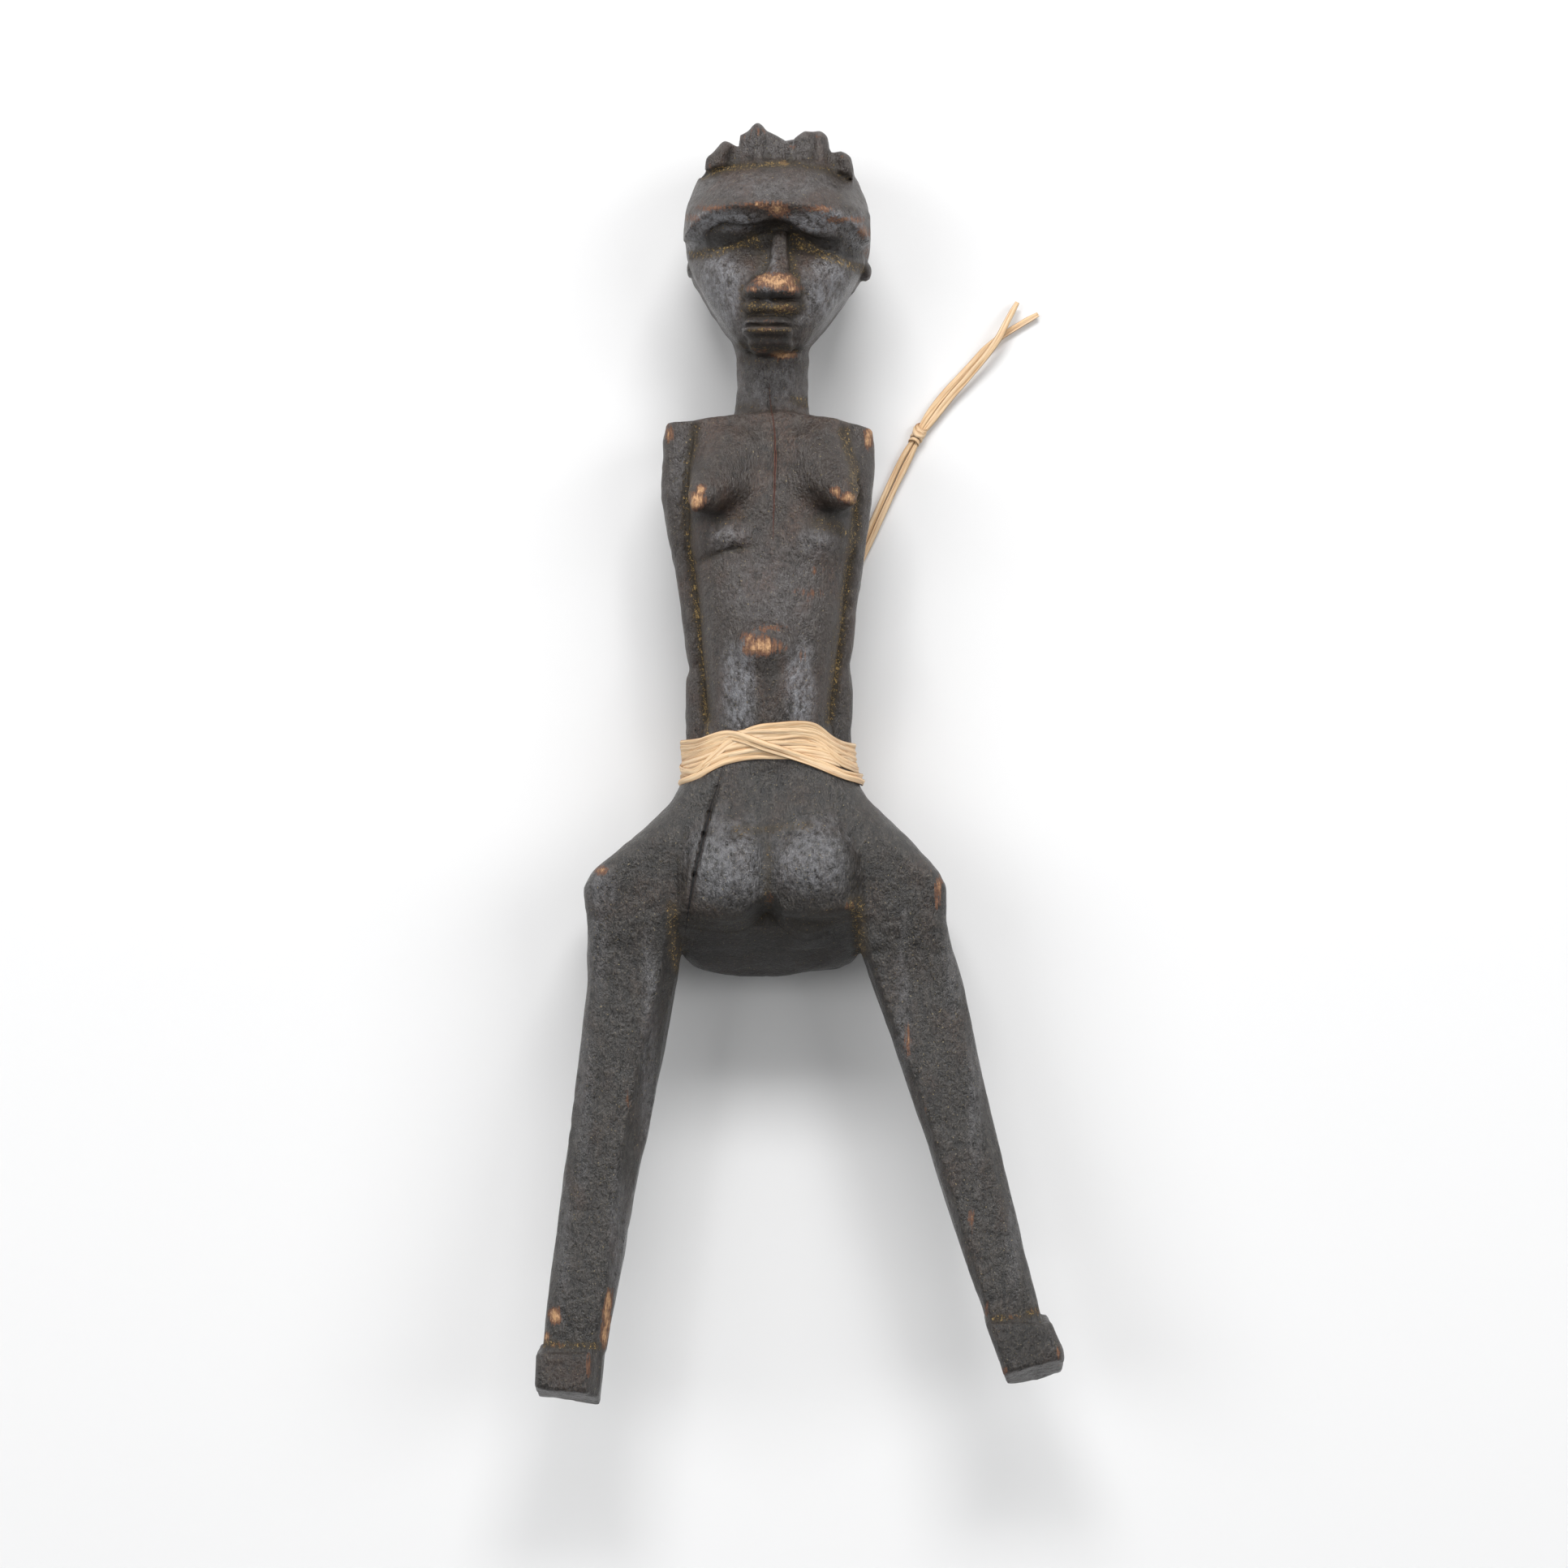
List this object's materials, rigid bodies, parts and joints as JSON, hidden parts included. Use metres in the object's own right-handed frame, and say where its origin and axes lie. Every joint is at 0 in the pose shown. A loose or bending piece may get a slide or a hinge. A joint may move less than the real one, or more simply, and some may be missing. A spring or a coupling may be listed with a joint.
{
  "type": "carved wooden female figure",
  "caption": "One-piece dark wood carving of a standing female figure with widely splayed legs and notched ankles, bound at the waist with knotted raffia.",
  "frame": {"origin": "middle of the carving's bounding box, on the surface that the back of the head and the buttocks rest on", "axes": "+Y from the soles to the crown, +Z out of the figure's front, +X towards the figure's left side"},
  "size_m": [0.0963, 0.2352, 0.0396],
  "materials": {
    "dark_wood": "hand-carved hardwood, blackened and waxed by handling, semi-gloss on worn ridges, bare brown wood at the brow, nose, breasts, navel and ankles, pale earth in the grooves",
    "raffia": "dry folded raffia palm fibre, pale straw, satin, with fine lengthwise creases"
  },
  "bodies": {
    "root": {"carved_figure": "dark_wood", "winding_strand_a": "raffia", "winding_strand_b": "raffia", "waist_hitch": "raffia", "tail_strand_a": "raffia", "tail_strand_b": "raffia", "tail_knot": "raffia"}
  },
  "joints": []
}
